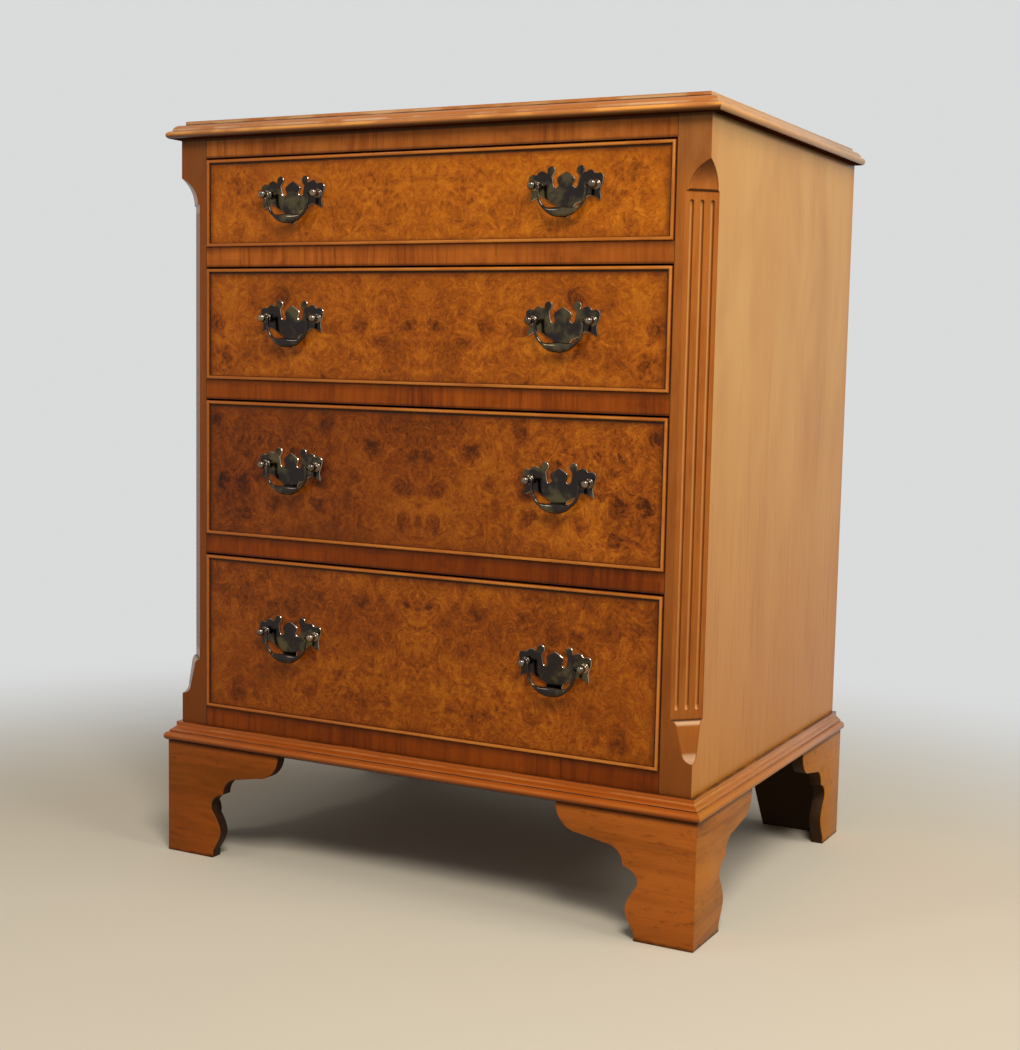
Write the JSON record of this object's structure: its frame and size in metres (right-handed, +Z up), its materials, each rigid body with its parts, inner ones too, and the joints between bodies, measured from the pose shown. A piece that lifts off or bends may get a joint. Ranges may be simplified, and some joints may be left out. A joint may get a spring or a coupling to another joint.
{
  "type": "bachelors chest",
  "caption": "Small bachelor's chest with graduated cockbeaded drawers, swinging bail handles, canted fluted front corners, moulded top and shaped bracket feet.",
  "frame": {"origin": "on the floor, in the middle of the chest's footprint over its base moulding", "axes": "+X to the right as seen from the front, +Y to the back, +Z up; the drawers open towards -Y"},
  "size_m": [0.635, 0.467, 0.7989],
  "materials": {
    "burr_walnut": "polished burr veneer, orange-brown with darker swirls",
    "bead_walnut": "polished, lighter orange-brown",
    "cross_walnut": "polished cross-grained veneer, red-brown",
    "side_walnut": "polished straight-grained veneer, honey brown",
    "moulding_walnut": "polished, worn lighter on the edges",
    "foot_walnut": "polished, red-brown, darker at the edges",
    "drawer_timber": "planed, unpolished",
    "carcase_timber": "stained, unpolished",
    "antique_brass": "darkened, with worn bright edges"
  },
  "bodies": {
    "carcase": {"top_board": "burr_walnut", "front_post_right": "cross_walnut", "front_post_left": "cross_walnut", "side_panel_right": "side_walnut", "side_panel_left": "side_walnut", "back_panel": "carcase_timber", "top_rail": "cross_walnut", "drawer_divider_1": "cross_walnut", "drawer_divider_2": "cross_walnut", "drawer_divider_3": "cross_walnut", "dust_board_1": "carcase_timber", "dust_board_2": "carcase_timber", "dust_board_3": "carcase_timber", "bottom_rail": "cross_walnut", "bottom_board": "carcase_timber", "base_moulding_front": "moulding_walnut", "base_moulding_right": "moulding_walnut", "base_moulding_left": "moulding_walnut", "foot_front_left_facing": "foot_walnut", "foot_front_right_facing": "foot_walnut", "foot_front_left_side": "foot_walnut", "foot_front_right_side": "foot_walnut", "foot_rear_left_side": "foot_walnut", "foot_rear_right_side": "foot_walnut", "foot_rear_left_back": "carcase_timber", "foot_rear_right_back": "carcase_timber"},
    "drawer_1": {"drawer_1_front": "burr_walnut", "drawer_1_cockbead": "bead_walnut", "drawer_1_box": "drawer_timber", "drawer_1_bottom": "drawer_timber", "drawer_1_plate_left": "antique_brass", "drawer_1_plate_right": "antique_brass"},
    "drawer_1_bail_left": {"drawer_1_bail_left": "antique_brass"},
    "drawer_1_bail_right": {"drawer_1_bail_right": "antique_brass"},
    "drawer_2": {"drawer_2_front": "burr_walnut", "drawer_2_cockbead": "bead_walnut", "drawer_2_box": "drawer_timber", "drawer_2_bottom": "drawer_timber", "drawer_2_plate_left": "antique_brass", "drawer_2_plate_right": "antique_brass"},
    "drawer_2_bail_left": {"drawer_2_bail_left": "antique_brass"},
    "drawer_2_bail_right": {"drawer_2_bail_right": "antique_brass"},
    "drawer_3": {"drawer_3_front": "burr_walnut", "drawer_3_cockbead": "bead_walnut", "drawer_3_box": "drawer_timber", "drawer_3_bottom": "drawer_timber", "drawer_3_plate_left": "antique_brass", "drawer_3_plate_right": "antique_brass"},
    "drawer_3_bail_left": {"drawer_3_bail_left": "antique_brass"},
    "drawer_3_bail_right": {"drawer_3_bail_right": "antique_brass"},
    "drawer_4": {"drawer_4_front": "burr_walnut", "drawer_4_cockbead": "bead_walnut", "drawer_4_box": "drawer_timber", "drawer_4_bottom": "drawer_timber", "drawer_4_plate_left": "antique_brass", "drawer_4_plate_right": "antique_brass"},
    "drawer_4_bail_left": {"drawer_4_bail_left": "antique_brass"},
    "drawer_4_bail_right": {"drawer_4_bail_right": "antique_brass"}
  },
  "joints": [
    {"name": "drawer_1_slide", "type": "slide", "parent": "carcase", "child": "drawer_1", "axis": [0, -1, 0], "range_m": [0, 0.3]},
    {"name": "drawer_1_bail_left_swing", "type": "hinge", "parent": "drawer_1", "child": "drawer_1_bail_left", "pos_m": [-0.157, -0.2285, 0.7184], "axis": [-1, 0, 0], "range_deg": [0, 165]},
    {"name": "drawer_1_bail_right_swing", "type": "hinge", "parent": "drawer_1", "child": "drawer_1_bail_right", "pos_m": [0.157, -0.2285, 0.7184], "axis": [-1, 0, 0], "range_deg": [0, 165]},
    {"name": "drawer_2_slide", "type": "slide", "parent": "carcase", "child": "drawer_2", "axis": [0, -1, 0], "range_m": [0, 0.3]},
    {"name": "drawer_2_bail_left_swing", "type": "hinge", "parent": "drawer_2", "child": "drawer_2_bail_left", "pos_m": [-0.157, -0.2285, 0.591], "axis": [-1, 0, 0], "range_deg": [0, 165]},
    {"name": "drawer_2_bail_right_swing", "type": "hinge", "parent": "drawer_2", "child": "drawer_2_bail_right", "pos_m": [0.157, -0.2285, 0.591], "axis": [-1, 0, 0], "range_deg": [0, 165]},
    {"name": "drawer_3_slide", "type": "slide", "parent": "carcase", "child": "drawer_3", "axis": [0, -1, 0], "range_m": [0, 0.3]},
    {"name": "drawer_3_bail_left_swing", "type": "hinge", "parent": "drawer_3", "child": "drawer_3_bail_left", "pos_m": [-0.157, -0.2285, 0.43705], "axis": [-1, 0, 0], "range_deg": [0, 165]},
    {"name": "drawer_3_bail_right_swing", "type": "hinge", "parent": "drawer_3", "child": "drawer_3_bail_right", "pos_m": [0.157, -0.2285, 0.43705], "axis": [-1, 0, 0], "range_deg": [0, 165]},
    {"name": "drawer_4_slide", "type": "slide", "parent": "carcase", "child": "drawer_4", "axis": [0, -1, 0], "range_m": [0, 0.3]},
    {"name": "drawer_4_bail_left_swing", "type": "hinge", "parent": "drawer_4", "child": "drawer_4_bail_left", "pos_m": [-0.157, -0.2285, 0.25775], "axis": [-1, 0, 0], "range_deg": [0, 165]},
    {"name": "drawer_4_bail_right_swing", "type": "hinge", "parent": "drawer_4", "child": "drawer_4_bail_right", "pos_m": [0.157, -0.2285, 0.25775], "axis": [-1, 0, 0], "range_deg": [0, 165]}
  ]
}
